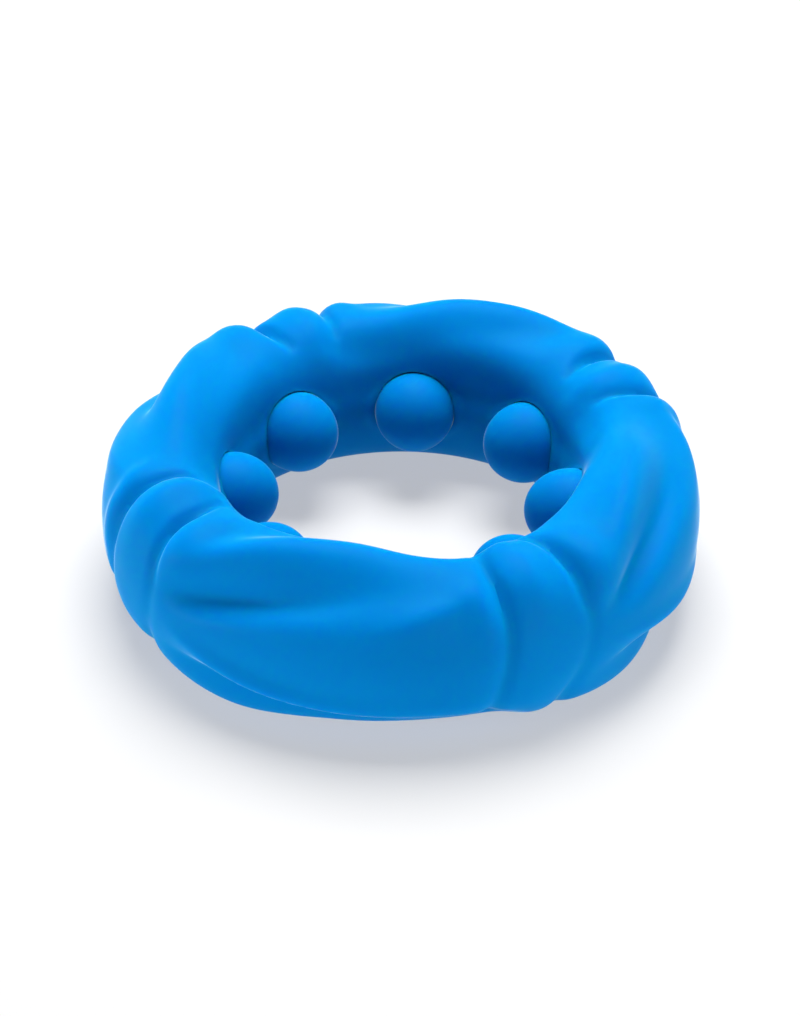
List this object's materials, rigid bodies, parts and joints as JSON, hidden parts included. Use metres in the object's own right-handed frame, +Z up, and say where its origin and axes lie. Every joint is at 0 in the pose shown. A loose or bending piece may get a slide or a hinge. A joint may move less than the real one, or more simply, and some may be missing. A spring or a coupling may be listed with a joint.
{
  "type": "hand squeeze ring",
  "caption": "Soft moulded silicone squeeze ring with a twisted, pleated outer form and round beads seated in its inner wall.",
  "frame": {"origin": "on the ring's axis, in the plane that the ring rests on", "axes": "+Z up along the ring's axis; +X and +Y lie in the resting plane, with the middle of the first pleat pair 28.5 degrees from +X towards +Y"},
  "size_m": [0.0696, 0.0696, 0.0218],
  "materials": {
    "ring_silicone": "satin moulded silicone, azure blue",
    "bead_silicone": "smooth satin silicone, azure blue"
  },
  "bodies": {
    "ring": {"ring_body": "ring_silicone"},
    "bead_1": {"bead_1": "bead_silicone"},
    "bead_2": {"bead_2": "bead_silicone"},
    "bead_3": {"bead_3": "bead_silicone"},
    "bead_4": {"bead_4": "bead_silicone"},
    "bead_5": {"bead_5": "bead_silicone"},
    "bead_6": {"bead_6": "bead_silicone"},
    "bead_7": {"bead_7": "bead_silicone"},
    "bead_8": {"bead_8": "bead_silicone"}
  },
  "joints": [
    {"name": "bead_1_press", "type": "slide", "parent": "ring", "child": "bead_1", "axis": [0.766, 0.6428, 0], "range_m": [0, 0.0015], "stiffness_N_per_m": 800},
    {"name": "bead_2_press", "type": "slide", "parent": "ring", "child": "bead_2", "axis": [0.0872, 0.9962, 0], "range_m": [0, 0.0015], "stiffness_N_per_m": 800},
    {"name": "bead_3_press", "type": "slide", "parent": "ring", "child": "bead_3", "axis": [-0.6428, 0.766, 0], "range_m": [0, 0.0015], "stiffness_N_per_m": 800},
    {"name": "bead_4_press", "type": "slide", "parent": "ring", "child": "bead_4", "axis": [-0.9962, 0.0872, 0], "range_m": [0, 0.0015], "stiffness_N_per_m": 800},
    {"name": "bead_5_press", "type": "slide", "parent": "ring", "child": "bead_5", "axis": [-0.766, -0.6428, 0], "range_m": [0, 0.0015], "stiffness_N_per_m": 800},
    {"name": "bead_6_press", "type": "slide", "parent": "ring", "child": "bead_6", "axis": [-0.0872, -0.9962, 0], "range_m": [0, 0.0015], "stiffness_N_per_m": 800},
    {"name": "bead_7_press", "type": "slide", "parent": "ring", "child": "bead_7", "axis": [0.6428, -0.766, 0], "range_m": [0, 0.0015], "stiffness_N_per_m": 800},
    {"name": "bead_8_press", "type": "slide", "parent": "ring", "child": "bead_8", "axis": [0.9962, -0.0872, 0], "range_m": [0, 0.0015], "stiffness_N_per_m": 800}
  ]
}
